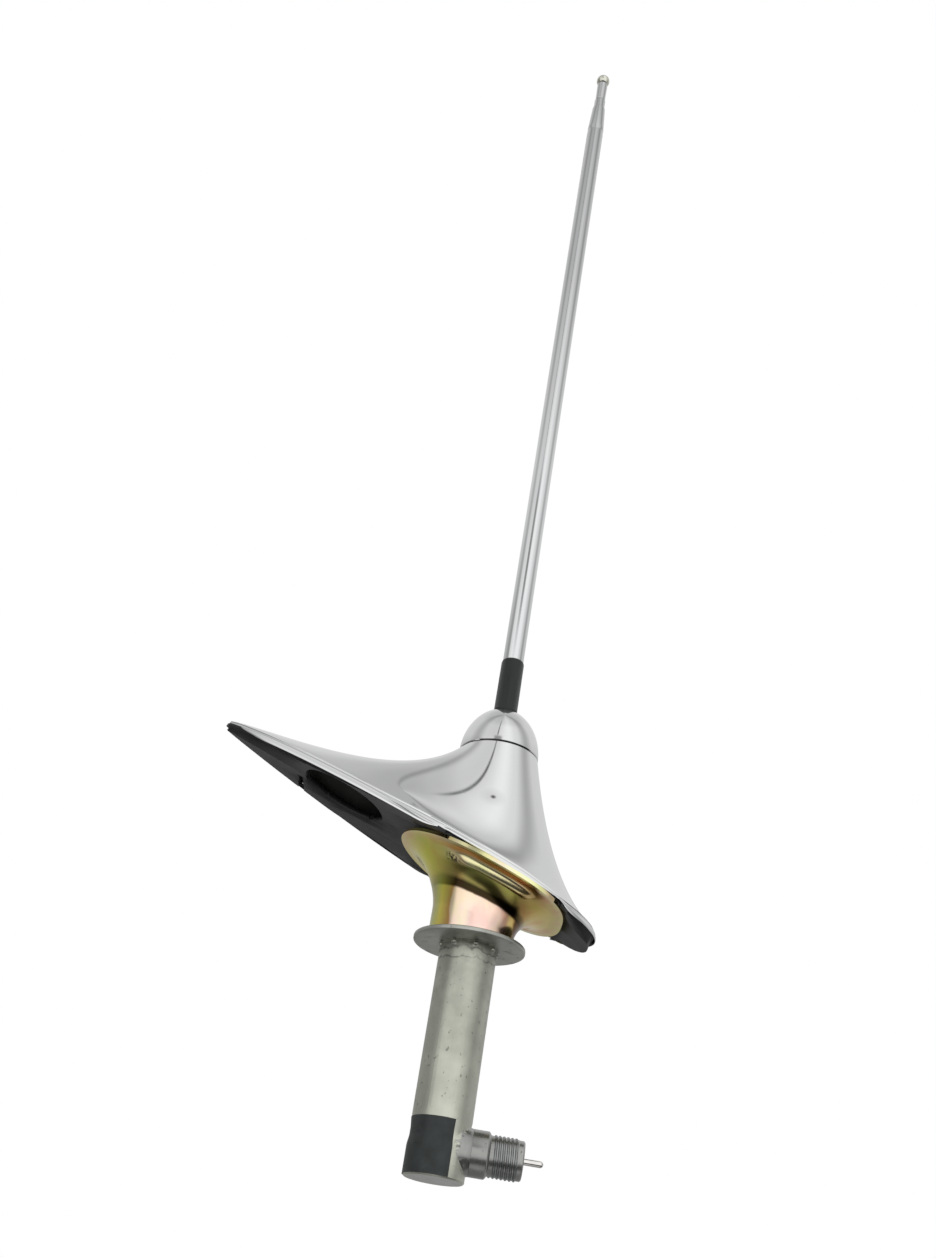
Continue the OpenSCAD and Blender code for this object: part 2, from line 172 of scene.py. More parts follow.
def axes_of(made, mapping):
    axes = add(made, "ShaderNodeSeparateXYZ")
    join(made, mapping, "Vector", axes, 0)
    return axes


def share_of(made, source, output, start, end):
    span = add(made, "ShaderNodeMapRange")
    span.inputs["From Min"].default_value = start
    span.inputs["From Max"].default_value = end
    join(made, source, output, span, "Value")
    return span


# The Mix node has one set of sockets per kind of data. These are the ones for colours.
FIRST_COLOUR, SECOND_COLOUR, MIXED_COLOUR = 6, 7, 2


def blend(made, share, first, second, kind="MIX"):
    mix = add(made, "ShaderNodeMix", data_type="RGBA", blend_type=kind)
    if isinstance(share, float):
        mix.inputs["Factor"].default_value = share
    else:
        made.node_tree.links.new(share, mix.inputs["Factor"])
    made.node_tree.links.new(first, mix.inputs[FIRST_COLOUR])
    made.node_tree.links.new(second, mix.inputs[SECOND_COLOUR])
    return mix.outputs[MIXED_COLOUR]


def relief(made, shader, source, output, depth):
    bump = add(made, "ShaderNodeBump", Distance=depth * MM, Strength=1.0)
    join(made, source, output, bump, "Height")
    join(made, bump, "Normal", shader, "Normal")


# %% [markdown]
# Chrome plate is nearly a mirror. Its colour is the share of light that it sends back,
# a little over six tenths. Two faint noises keep it from looking like a computer's
# mirror: a broad one bends the reflections as a polished casting does, and a fine one
# lifts the roughness in places, as handling marks do. The base has one small dark spot
# painted into its colour, and the mast's plating gets darker towards its top.

# %% Chrome of the base, the cap nut and the mast
SPOT_REACH, DARKER_LENGTH = 4, 120


def chrome(name, colour, haze, ripple, stretch=(1, 1, 1), darker_from=None, dark_spot=None):
    made, shader = start_finish(name, colour, 1.0, haze)
    # a small dark spot painted into the colour round one point of the base
    if dark_spot:
        reach = add(made, "ShaderNodeVectorMath", operation="DISTANCE")
        join(made, place(made, (0.8, 1, 1)), "Vector", reach, 0)
        reach.inputs[1].default_value = Vector(dark_spot) * MM
        nearness = share_of(made, reach, "Value", 0, SPOT_REACH * MM)
        darkening = ramp(made, nearness, "Result", [
            (0.08, scaled(colour, 0.16)), (0.24, scaled(colour, 0.84)), (1.0, colour),
        ])
        join(made, darkening, "Color", shader, "Base Color")
    # the colour is made darker towards the top of the mast
    if darker_from:
        top = (darker_from + DARKER_LENGTH) * MM
        upwards = share_of(made, axes_of(made, place(made)), "Z", darker_from * MM, top)
        top_tone = ramp(made, upwards, "Result", [(0.0, colour), (1.0, scaled(colour, 0.7))])
        join(made, top_tone, "Color", shader, "Base Color")
    mapping = place(made, stretch)
    marks = noise(made, mapping, 420.0, 6.0)
    hazes = ramp(made, marks, "Fac", [(0.35, grey(haze * 0.7)), (0.75, grey(haze * 1.8))])
    join(made, hazes, "Color", shader, "Roughness")
    swell = noise(made, mapping, 55.0, 1.0)
    relief(made, shader, swell, "Fac", ripple)
    return made


base_chrome = chrome("base_chrome", (0.70, 0.71, 0.705), 0.05, 0.03, dark_spot=(0.25, -16.9, 20.3))
mast_chrome = chrome("mast_chrome", (0.70, 0.705, 0.71), 0.08, 0.01, (1, 1, 0.04), darker_from=170)
print("chrome finishes ready")

# %% [markdown]
# Rubber and moulded plastic look alike in black. The rubber is duller and has a fine
# grain, and the plastic of the sleeve has a soft shine with faint lengthwise marks. The
# unplated inside of the base is dull, and its nearly black colour is painted shade of the
# hollow, so it takes the same kind of finish.

# %% Rubber, plastics, the blank label and the inside with painted shade


def dull(name, colour, roughness, grain_scale, grain_depth, stretch=(1, 1, 1)):
    made, shader = start_finish(name, colour, 0.0, roughness)
    shader.inputs["Specular IOR Level"].default_value = 0.3
    mapping = place(made, stretch)
    cloud = noise(made, mapping, grain_scale * 0.15, 3.0)
    tint = ramp(made, cloud, "Fac", [(0.3, scaled(colour, 0.75)), (0.7, scaled(colour, 1.35))])
    join(made, tint, "Color", shader, "Base Color")
    grain = noise(made, mapping, grain_scale, 6.0)
    relief(made, shader, grain, "Fac", grain_depth)
    return made


black_rubber = dull("black_rubber", (0.018, 0.018, 0.019), 0.45, 900.0, 0.05)
black_plastic = dull("black_plastic", (0.016, 0.019, 0.018), 0.42, 1200.0, 0.02, (1, 1, 0.2))
label_film = dull("label_film", (0.024, 0.028, 0.028), 0.45, 1500.0, 0.012)
bare_and_shaded_inside = dull("bare_and_shaded_inside", (0.022, 0.022, 0.02), 0.8, 600.0, 0.05)
white_plastic = dull("white_plastic", (0.70, 0.68, 0.62), 0.45, 900.0, 0.01)
print("dull finishes ready")

# %% [markdown]
# The body is a zinc die casting with no plating: a dull warm grey with a fine sandy
# grain, small pits, and cloudy patches where the die was hotter. Under the flange the
# metal is staked, which leaves two broken dark lines round the tube. Towards the flange
# the colour is also made darker, as painted shade of the flange. Both are laid by
# depth below the flange, and a noise added to the height makes them waver.

# %% Bare die casting
TUBE_FOOT, TUBE_TOP, WAVER = -80.0, -24.8, 4.4


def under(depth):
    return 1 - depth / (TUBE_TOP - TUBE_FOOT)


def cast(name, colour, roughness, grain_depth):
    made, shader = start_finish(name, colour, 0.92, roughness)
    mapping = place(made)
    cloud = noise(made, mapping, 130.0, 5.0)
    tint = ramp(made, cloud, "Fac", [(0.32, scaled(colour, 0.86)), (0.68, scaled(colour, 1.10))])
    specks = noise(made, mapping, 700.0, 2.0)
    pits = ramp(made, specks, "Fac", [(0.27, grey(0.55)), (0.33, grey(1.0))])
    pitted = blend(made, 1.0, tint.outputs["Color"], pits.outputs["Color"], "MULTIPLY")
    lifted = add(made, "ShaderNodeMath", operation="MULTIPLY_ADD")
    join(made, noise(made, mapping, 260.0, 3.0), "Fac", lifted, 0)
    lifted.inputs[1].default_value = WAVER * MM
    join(made, axes_of(made, mapping), "Z", lifted, 2)
    height = share_of(made, lifted, "Value", TUBE_FOOT * MM, TUBE_TOP * MM)
    # the dark stake lines, and painted shade that darkens the tube towards the flange
    stakes_and_shade = ramp(made, height, "Result", [
        (0.0, grey(1.06)), (under(30), grey(0.96)), (under(8), grey(0.84)),
        (under(6.1), grey(0.80)), (under(5.6), grey(0.36)), (under(5.1), grey(0.84)),
        (under(3.4), grey(0.88)), (under(2.9), grey(0.34)), (under(2.3), grey(0.80)),
        (under(0.8), grey(0.66)), (under(0.4), grey(1.0)),
    ])
    crumbs = noise(made, mapping, 330.0, 3.0)
    crumbled = ramp(made, crumbs, "Fac", [(0.38, grey(0.45)), (0.55, grey(1.0))])
    staked_and_shaded = blend(
        made, crumbled.outputs["Color"], pitted, stakes_and_shade.outputs["Color"], "MULTIPLY",
    )
    made.node_tree.links.new(staked_and_shaded, shader.inputs["Base Color"])
    grain = noise(made, mapping, 1500.0, 5.0)
    relief(made, shader, grain, "Fac", grain_depth)
    return made


cast_zinc = cast("cast_zinc", (0.49, 0.50, 0.43), 0.34, 0.03)
flange_zinc = cast("flange_zinc", (0.44, 0.45, 0.41), 0.42, 0.03)
machined_zinc = cast("machined_zinc", (0.33, 0.335, 0.32), 0.26, 0.01)
print("casting finishes ready")

# %% [markdown]
# Turned parts carry fine rings from the tool. A Wave texture along the turning axis
# gives them, as relief only, so that the highlights break up into fine bands.

# %% Turned steel, nickel, brass and copper


def turned(name, colour, roughness, direction, ring_scale, ring_depth):
    made, shader = start_finish(name, colour, 1.0, roughness)
    mapping = place(made)
    rings = add(made, "ShaderNodeTexWave", Scale=ring_scale, Distortion=1.5, Detail=2.0)
    rings.bands_direction = direction
    join(made, mapping, "Vector", rings, "Vector")
    relief(made, shader, rings, "Fac", ring_depth)
    darkening = noise(made, mapping, 260.0, 4.0)
    tint = ramp(made, darkening, "Fac", [(0.3, scaled(colour, 0.72)), (0.62, colour)])
    join(made, tint, "Color", shader, "Base Color")
    return made


dark_steel = turned("dark_steel", (0.30, 0.31, 0.31), 0.33, "X", 600.0, 0.01)
bright_nickel = turned("bright_nickel", (0.80, 0.78, 0.75), 0.06, "X", 500.0, 0.0005)
tip_nickel = turned("tip_nickel", (0.72, 0.72, 0.63), 0.05, "Z", 500.0, 0.0003)
brass = turned("brass", (0.66, 0.50, 0.25), 0.25, "Z", 500.0, 0.004)
copper = turned("copper", (0.70, 0.38, 0.22), 0.3, "Z", 500.0, 0.004)
print("turned finishes ready")

# %% [markdown]
# Yellow passivation over zinc is a thin film, and its colour changes with its
# thickness: olive, straw, orange and a little pink. The clamp stores one number at each
# vertex, how far out it is between neck and rim. The colours follow that number and the
# distance to the left or right of the mast, with a noise to fray both. Part of the colour
# is painted light: painted shade, a painted highlight and a painted reflection.

# %% The two measures that the film follows
CLAMP_SIDE = 32


def side(x):
    return (x + CLAMP_SIDE) / (2 * CLAMP_SIDE)


def frayed(made, source, output, fray, amount):
    wobble = add(made, "ShaderNodeMath", operation="MULTIPLY_ADD")
    join(made, fray, "Fac", wobble, 0)
    wobble.inputs[1].default_value = amount
    shift = add(made, "ShaderNodeMath", operation="ADD")
    shift.inputs[1].default_value = -amount / 2
    join(made, source, output, wobble, 2)
    join(made, wobble, "Value", shift, 0)
    return shift


def colours(made, source, output, stops):
    return ramp(made, source, output, stops).outputs["Color"]


print("the film spans", CLAMP_SIDE, "mm to each side of the mast")

# %% [markdown]
# In front the colour runs through bands from neck to rim, which mix the film's own colour
# with painted light: a nearly black painted shade lies in the fillet, a darker painted shade
# under the ridge, a pale yellow painted highlight on the ridge and an orange painted
# reflection in the valley beyond it. At the two ends the film is plainer, and a second set
# of colours takes over there. Then the whole is tinted from left to right, and the rim is
# made paler.

# %% Bands of film and painted light, tints and the pale rim


def film_and_light_bands(made, out, across, fray):
    # film colour with painted shade in the fillet and under the ridge, a painted highlight on the
    # ridge and a painted orange reflection in the valley
    middle = colours(made, out, "Value", [
        (0.0, (0.93, 0.78, 0.66)), (0.325, (0.93, 0.76, 0.58)), (0.35, (0.045, 0.03, 0.015)),
        (0.43, (0.04, 0.032, 0.014)), (0.48, (0.36, 0.31, 0.11)), (0.62, (0.42, 0.42, 0.12)),
        (0.71, (0.92, 0.90, 0.50)), (0.81, (0.98, 0.92, 0.56)), (0.835, (0.88, 0.50, 0.18)),
        (0.89, (0.76, 0.40, 0.11)), (0.925, (0.42, 0.32, 0.10)), (0.95, (0.46, 0.38, 0.16)),
        (1.0, (0.30, 0.25, 0.12)),
    ])
    ends = colours(made, out, "Value", [
        (0.0, (0.80, 0.74, 0.40)), (0.45, (0.74, 0.68, 0.26)), (0.70, (0.74, 0.70, 0.25)),
        (0.86, (0.74, 0.66, 0.34)), (0.93, (0.76, 0.62, 0.42)), (1.0, (0.84, 0.74, 0.56)),
    ])
    near_end = colours(made, across, "Value", [
        (side(-17), grey(1)), (side(-8), grey(0)), (side(13), grey(0)), (side(19), grey(1)),
    ])
    film_and_light = blend(made, near_end, middle, ends)
    hue = colours(made, across, "Value", [
        (side(-31), (1.0, 0.88, 0.76)), (side(-25), (0.95, 0.96, 0.50)),
        (side(-19), (1.0, 1.02, 0.46)), (side(-12), (1.0, 0.92, 0.74)),
        (side(-4), (1.0, 1.0, 1.0)), (side(10), (1.0, 0.96, 0.92)),
        (side(16), (1.0, 0.74, 0.70)), (side(22), (1.0, 0.82, 0.66)),
        (side(28), (0.94, 0.94, 0.60)),
    ])
    film_and_light = blend(made, 1.0, film_and_light, hue, "MULTIPLY")
    rim_out = colours(made, out, "Value", [(0.935, grey(0)), (0.95, grey(1))])
    rim_side = colours(made, across, "Value", [
        (side(-12), grey(0)), (side(-6), grey(1)), (side(20), grey(1)), (side(27), grey(0)),
    ])
    on_rim = blend(made, 1.0, rim_out, rim_side, "MULTIPLY")
    pale = colours(made, fray, "Fac", [(0.40, (0.92, 0.88, 0.46)), (0.60, (0.84, 0.84, 0.60))])
    return blend(made, on_rim, film_and_light, pale)


print("bands of the film ready")

# %% [markdown]
# The neck shows upright streaks, as deep-drawn sheet does, and its right edge is painted
# dark as painted shade. Broad patches shift the tint everywhere, and at the left end of
# the ridge lies a small rough spot. A painted shadow of the gap above the flange darkens
# the right half of the neck's foot.

# %% Streaks, painted shade, patches, the rough spot and the painted gap shadow


def neck_streaks_and_shade(made, film_and_light, out, across):
    # drawn streaks across the neck, and painted shade darkening its right edge
    streaks_and_shade = colours(made, across, "Value", [
        (side(-14.2), (0.62, 0.74, 0.84)), (side(-13), (0.74, 0.92, 0.62)),
        (side(-11.5), (0.95, 1.0, 0.40)), (side(-9.5), (0.86, 0.80, 0.36)),
        (side(-8.2), (0.74, 0.54, 0.26)), (side(-7.7), (1.0, 1.0, 1.0)),
        (side(8), (1.0, 0.94, 0.98)), (side(10.4), (0.86, 0.66, 0.58)),
        (side(11.6), (1.0, 1.0, 0.62)), (side(12.8), (0.96, 0.92, 0.50)),
        (side(13.6), (0.16, 0.11, 0.06)),
    ])
    in_neck = colours(made, out, "Value", [(0.33, grey(1)), (0.46, grey(0))])
    return blend(made, in_neck, film_and_light, blend(made, 1.0, film_and_light, streaks_and_shade, "MULTIPLY"))


def patches(made, film_and_light):
    patch = noise(made, place(made, (1, 1, 0.5)), 150.0, 5.0)
    tints = colours(made, patch, "Fac", [
        (0.34, (0.88, 1.0, 0.80)), (0.46, (1.0, 1.0, 0.90)), (0.53, (1.0, 0.98, 1.0)),
        (0.64, (1.0, 0.82, 0.88)),
    ])
    return blend(made, 0.75, film_and_light, tints, "MULTIPLY")


def rough_spot(made, film_and_light, out, sideways, mapping):
    spot_side = colours(made, sideways, "Result", [
        (side(-12.5), grey(0)), (side(-11), grey(1)), (side(-8.5), grey(1)),
        (side(-6.5), grey(0)),
    ])
    spot_out = colours(made, out, "Value", [
        (0.63, grey(0)), (0.68, grey(1)), (0.74, grey(1)), (0.79, grey(0)),
    ])
    in_spot = blend(made, 1.0, spot_side, spot_out, "MULTIPLY")
    specks = noise(made, mapping, 900.0, 2.0)
    pocks = colours(made, specks, "Fac", [(0.46, grey(0.12)), (0.58, grey(1.0))])
    return blend(made, in_spot, film_and_light, blend(made, 1.0, film_and_light, pocks, "MULTIPLY"))


def painted_gap_shadow(made, film_and_light, outward, sideways):
    # painted shadow of the gap above the flange, on the right half of the neck's foot
    at_foot = colours(made, outward, "Fac", [(0.008, grey(1)), (0.016, grey(0))])
    on_right = colours(made, sideways, "Result", [(side(-3), grey(0)), (side(0), grey(1))])
    shadow_colour = add(made, "ShaderNodeRGB")
    shadow_colour.outputs[0].default_value = (0.02, 0.015, 0.01, 1)
    return blend(made, blend(made, 1.0, at_foot, on_right, "MULTIPLY"), film_and_light, shadow_colour.outputs[0])


def yellow_zinc():
    made, shader = start_finish("yellow_zinc", (0.62, 0.52, 0.22), 1.0, 0.17)
    mapping = place(made)
    fray = noise(made, mapping, 120.0, 4.0)
    outward = add(made, "ShaderNodeAttribute", attribute_name="outward")
    out = frayed(made, outward, "Fac", fray, 0.05)
    reach = CLAMP_SIDE * MM
    sideways = share_of(made, axes_of(made, mapping), "X", -reach, reach)
    across = frayed(made, sideways, "Result", fray, 0.04)
    film_and_light = film_and_light_bands(made, out, across, fray)
    film_and_light = patches(made, neck_streaks_and_shade(made, film_and_light, out, across))
    film_and_light = rough_spot(made, film_and_light, out, sideways, mapping)
    film_and_light = painted_gap_shadow(made, film_and_light, outward, sideways)
    made.node_tree.links.new(film_and_light, shader.inputs["Base Color"])
    grain = noise(made, mapping, 900.0, 5.0)
    relief(made, shader, grain, "Fac", 0.008)
    return made


clamp_zinc = yellow_zinc()
print("yellow zinc ready")

# %% [markdown]
# ## Turned pieces
# A turned piece is half a profile spun once round its axis. The helper takes the
# profile as pairs of radius and height, spins it with bmesh.ops.spin, and a bevel
# then breaks every corner that is sharper than 25 degrees, as a file would. A piece
# that lies along X is spun upright first and then turned over.

# %% A lathe


def soften_corners(bm, width, angle, segments):
    corners = [
        e for e in bm.edges if e.is_manifold and e.calc_face_angle(0) > math.radians(angle)
    ]
    bmesh.ops.bevel(
        bm, geom=corners, offset=width * MM, segments=segments, affect="EDGES",
        profile=0.5, material=-1, clamp_overlap=True,
    )


def lay_along_x(bm, start):
    to_x = Matrix.Rotation(math.pi / 2, 3, "Y")
    bmesh.ops.rotate(bm, verts=bm.verts, cent=(0, 0, 0), matrix=to_x)
    bmesh.ops.translate(bm, verts=bm.verts, vec=Vector(start) * MM)


def lathe(profile, turns=96, lying_at=None, closed=True, soften=0.0):
    bm = bmesh.new()
    verts = [bm.verts.new((r * MM, 0, z * MM)) for r, z in profile]
    pairs = list(zip(verts, verts[1:]))
    if closed:
        pairs.append((verts[-1], verts[0]))
    edges = [bm.edges.new(p) for p in pairs if not (p[0].co.x == 0 and p[1].co.x == 0)]
    bmesh.ops.spin(
        bm, geom=verts + edges, cent=(0, 0, 0), axis=(0, 0, 1), angle=math.tau,
        steps=turns, use_merge=True,
    )
    bmesh.ops.remove_doubles(bm, verts=bm.verts, dist=0.001 * MM)
    loose = [e for e in bm.edges if not e.link_faces]
    bmesh.ops.delete(bm, geom=loose, context="EDGES")
    bmesh.ops.recalc_face_normals(bm, faces=bm.faces)
    if soften:
        soften_corners(bm, soften, 25, 3)
    if lying_at:
        lay_along_x(bm, lying_at)
    return bm


def arc(r, z, rise, angles):
    turned_by = [math.radians(b) for b in angles]
    return [(r * math.cos(b), z + rise * math.sin(b)) for b in turned_by]


# %% [markdown]
# The mast's outer tube is a plain drawn tube with a groove rolled in just below the
# taper of its mouth. The middle tube shows for a few millimetres.

# %% The outer and the middle section
TAPER_LEN, GROOVE_DEPTH, OUTER_BORE_R, MOUTH_BORE_R = 15.6, 0.16, 3.4, 2.7
MIDDLE_R, MIDDLE_BORE_R, MIDDLE_MOUTH_R = 2.65, 2.25, 1.8
mast_low = low("mast_outer_tube").z
mouth = high("mast_outer_tube").z
taper_low = mouth - TAPER_LEN
outer_r = high("mast_outer_tube").x
bm = lathe(
    [
        (OUTER_BORE_R, mast_low), (outer_r, mast_low), (outer_r, taper_low - 3.2),
        (outer_r - GROOVE_DEPTH, taper_low - 2.6), (outer_r - GROOVE_DEPTH, taper_low - 1.2),
        (outer_r, taper_low - 0.6), (outer_r - 0.08, taper_low + 1.2), (3.12, mouth - 0.5),
        (3.0, mouth), (MOUTH_BORE_R, mouth), (MOUTH_BORE_R, mouth - 3.6),
        (OUTER_BORE_R, taper_low),
    ],
    turns=128, soften=0.12,
)
keep(bm, "outer_section", "antenna_base", mast_chrome, ["mast_outer_tube"])

middle_low = low("mast_middle_tube").z
middle_high = high("mast_middle_tube").z
bm = lathe(
    [
        (MIDDLE_BORE_R, middle_low), (MIDDLE_R, middle_low), (MIDDLE_R, middle_high - 0.8),
        (2.4, middle_high), (MIDDLE_MOUTH_R, middle_high), (MIDDLE_MOUTH_R, middle_high - 2.3),
        (MIDDLE_BORE_R, middle_high - 5),
    ],
    turns=96, soften=0.1,
)
keep(bm, "middle_section_tube", "middle_section", mast_chrome, ["mast_middle_tube"])

# %% [markdown]
# The tip is turned from one bar: a stem that widens upwards, a deep groove, and the ball
# above it. The groove makes a dark line under the ball. The stem has taken on the duller
# grey of the mast's plating, so its faces get that finish and the ball keeps the bright one.

# %% The tip
BALL_R, GROOVE_R, STEM_TOP_R = 3.2, 1.45, 2.52
tip_low = low("mast_tip").z
ball_z = high("mast_tip").z - BALL_R
bm = lathe(
    [
        (0, tip_low), (2.1, tip_low), (2.34, tip_low + 0.35), (2.4, tip_low + 4),
        (STEM_TOP_R, ball_z - 4.2), (STEM_TOP_R, ball_z - 3.35), (2.3, ball_z - 3.1),
        (GROOVE_R, ball_z - 3.0),
    ]
    + arc(BALL_R, ball_z, BALL_R, range(-62, 90, 4)) + [(0, ball_z + BALL_R)],
    turns=96,
)
tip = keep(bm, "tip_ball", "inner_section", tip_nickel, ["mast_tip"])
tip.data.materials.append(mast_chrome)
for face in tip.data.polygons:
    if face.center.z < (ball_z - 2.95) * MM:
        face.material_index = 1

# %% [markdown]
# The sleeve is a black moulding with a narrow bead where it enters the cap nut.

# %% Insulator sleeve
DOME_RISE = 18.2
SLEEVE_R, SLEEVE_BORE_R, BEAD_OUT = 4.25, 3.86, 0.14
SLEEVE_FOOT_R, SLEEVE_FOOT_LOW, SLEEVE_FOOT_HIGH = 8.4, 50.7, 53.5
nut_top = nut_low + DOME_RISE * math.sqrt(1 - (SLEEVE_R / nut_r) ** 2)
bm = lathe(
    [
        (SLEEVE_BORE_R, SLEEVE_FOOT_LOW), (SLEEVE_FOOT_R, SLEEVE_FOOT_LOW),
        (SLEEVE_FOOT_R, SLEEVE_FOOT_HIGH), (SLEEVE_R, SLEEVE_FOOT_HIGH),
        (SLEEVE_R, nut_top + 0.1), (SLEEVE_R + BEAD_OUT, nut_top + 0.3),
        (SLEEVE_R + BEAD_OUT, nut_top + 1.0), (SLEEVE_R, nut_top + 1.3),
        (SLEEVE_R - 0.05, sleeve_high - 0.8), (SLEEVE_R - 0.3, sleeve_high),
        (SLEEVE_BORE_R, sleeve_high),
    ],
    turns=96, soften=0.1,
)
keep(bm, "black_sleeve", "antenna_base", black_plastic, ["insulator_sleeve"])

# %% [markdown]
# The cap nut is a polished dome. Facets would show at once in a mirror finish, so the
# arc gets a point every two degrees.

# %% Cap nut
NUT_BORE_R, NUT_ROOF = 8.75, 53.6
bm = lathe(
    [(NUT_BORE_R, nut_low), (nut_r - 0.25, nut_low), (nut_r, nut_low + 0.3)]
    + arc(nut_r, nut_low, DOME_RISE, range(3, 73, 2))
    + [(SLEEVE_R + 0.02, nut_top), (SLEEVE_R + 0.02, NUT_ROOF), (NUT_BORE_R, NUT_ROOF)],
    turns=160,
)
keep(bm, "dome_nut", "antenna_base", base_chrome, ["cap_nut"])

# %% [markdown]
# ## The swept base
# The base follows a sloping, crowned panel. Its outline is half an ellipse in front
# and a tail that narrows to a soft point, and each line of its skin runs from the round
# collar to that outline on a flaring curve. It is made as a loft: a ring of vertices
# from create_circle, extruded again and again, each new ring moved to the next
# station. The last ring is the first one again, which closes the shell.

# %% Surfaces of the sloping seat
SLOPE = math.radians(22.1)
CROWN_R = 135.0
TAIL, FRONT, HALF_W = 104.5, 43.6, 24.3
COLLAR_R, COLLAR_Z, EDGE_H, WALL = 14.2, collar_high, 1.3, 2.1
SEAT_BORE_R, SEAT_BORE_DEPTH, TAIL_WALL, HOLLOW_H = 8.85, 3.4, 7, 0.3


def seat(s, y, h):
    return Vector((
        s * math.cos(SLOPE) + h * math.sin(SLOPE), y,
        h * math.cos(SLOPE) - s * math.sin(SLOPE),
    ))


def crown(y):
    return CROWN_R - math.sqrt(CROWN_R * CROWN_R - y * y)


def outline(a):
    a = a % 360
    b = min(a, 360 - a)
    hand = 1 if a <= 180 else -1
    if b <= 90:
        c, s = math.cos(math.radians(b)), math.sin(math.radians(b))
        return Vector((FRONT * c, hand * HALF_W * s))
    u = b / 90 - 1
    lead = math.pi / 2 * FRONT / TAIL
    q = lead * u + (3 - 2 * lead) * u ** 2 + (lead - 2) * u ** 3
    width = max(1 - q ** 1.8, 0) ** 0.85
    return Vector((-TAIL * q, hand * HALF_W * width))


def grown(a, grow):
    p = outline(a)
    d = outline(a + 1) - outline(a - 1)
    return p + grow * Vector((d.y, -d.x)).normalized()


def edge_at(a, grow, h):
    p = grown(a, grow)
    return seat(p.x, p.y, -crown(p.y)) + Vector((0, 0, h))


def skin(u, a, foot, ring_r, top_z, low_h):
    c = math.cos(math.radians(a))
    end = c * c
    bend = 1 - 0.24 * end if c < 0 else 1 + 0.36 * end
    fall = 1.9 - 0.1 * end if c < 0 else 1.9 - 0.8 * end
    flare = (1 - u) ** bend / (1 + fall * u)
    edge = seat(foot.x, foot.y, -crown(foot.y))
    ring = Vector((ring_r * c, ring_r * math.sin(math.radians(a))))
    x, y = ring.lerp(Vector((edge.x, edge.y)), u)
    floor_z = -math.tan(SLOPE) * x - crown(y) / math.cos(SLOPE)
    top_h = top_z + math.tan(SLOPE) * ring.x + crown(ring.y) / math.cos(SLOPE)
    return Vector((x, y, floor_z + low_h + (top_h - low_h) * flare))


def hollow_foot(a):
    p = outline(a)
    shrink = (TAIL - TAIL_WALL) / TAIL if p.x < 0 else (FRONT - WALL) / FRONT
    return Vector((p.x * shrink, p.y * (HALF_W - WALL) / HALF_W))


def hollow_edge(a):
    p = hollow_foot(a)
    return seat(p.x, p.y, -crown(p.y))


def circle_at(r, z):
    return lambda a: Vector((r * math.cos(math.radians(a)), r * math.sin(math.radians(a)), z))


print("tail tip at", tuple(round(v, 1) for v in edge_at(180, 0, 0)))

# %% [markdown]
# The loft keeps each vertex's number in a layer, which an extrusion copies, so every
# new vertex knows the direction that it belongs to. A second layer stores one number for
# each ring, for the finishes: on the base it marks the unplated inside, and on the clamp
# it says how far out a ring is.

# %% A loft from rings


def loft(rings, count, marks):
    bm = bmesh.new()
    number = bm.verts.layers.int.new("number")
    outward = bm.verts.layers.float.new("outward")
    verts = bmesh.ops.create_circle(bm, segments=count, radius=1)["verts"]
    for i, v in enumerate(verts):
        v[number] = i
        v.co = rings[0](i * 360 / count) * MM
        v[outward] = marks[0]
    edges = list(bm.edges)
    for k, place_ring in enumerate(rings[1:], 1):
        made = bmesh.ops.extrude_edge_only(bm, edges=edges)["geom"]
        edges = [g for g in made if isinstance(g, bmesh.types.BMEdge) and g.is_boundary]
        for v in {v for e in edges for v in e.verts}:
            v.co = place_ring(v[number] * 360 / count) * MM
            v[outward] = marks[k]
    bmesh.ops.remove_doubles(bm, verts=bm.verts, dist=0.0005 * MM)
    return bm


def spread(first, last, count):
    return [first + (last - first) * i / count for i in range(count + 1)]


# %% [markdown]
# The base has a bright rolled lip. Over the tail and at the front it reaches down over
# the rubber's edge, and beside the clamp, whose rim is in the way, it ends at the seat.
# The rings of the lip are written as pairs for its two states, short and long, and each
# direction round the base mixes the two. In a pair, the first number is how far a ring
# stands outside the outline, in millimetres. The second is its height, as a share of the
# lip's top if it is above the seat, and of the lip's drop if it is below.
#
# Chrome is plated on the outside only, so the faces of the hollow get the bare finish,
# whose nearly black colour is painted shade of the hollow.

# %% Build the base's shell
COUNT = 288
TAIL_DROP, FRONT_DROP, FRONT_TUCK = 2.0, 1.9, 0.34


def smooth(start, end, value):
    t = min(1, max(0, (value - start) / (end - start)))
    return t * t * (3 - 2 * t)


def lip_drop(a):
    s = outline(a).x
    return TAIL_DROP * smooth(-11, -24, s) * smooth(-108, -86, s) + FRONT_DROP * smooth(27, 34, s)


def lip_top(a):
    s = outline(a).x
    return EDGE_H + 0.9 * smooth(-45, -10, s) * smooth(30, 15, s) - 0.4 * smooth(24, 34, s)


def lip_ring(short, long):
    def place_ring(a):
        share = smooth(0, 1.2, lip_drop(a))
        tucked = FRONT_TUCK * smooth(20, 33, outline(a).x)
        grow = short[0] + (long[0] - tucked - short[0]) * share
        reach = short[1] + (long[1] - short[1]) * share
        return edge_at(a, grow, reach * (lip_top(a) if reach > 0 else lip_drop(a)))
    return place_ring


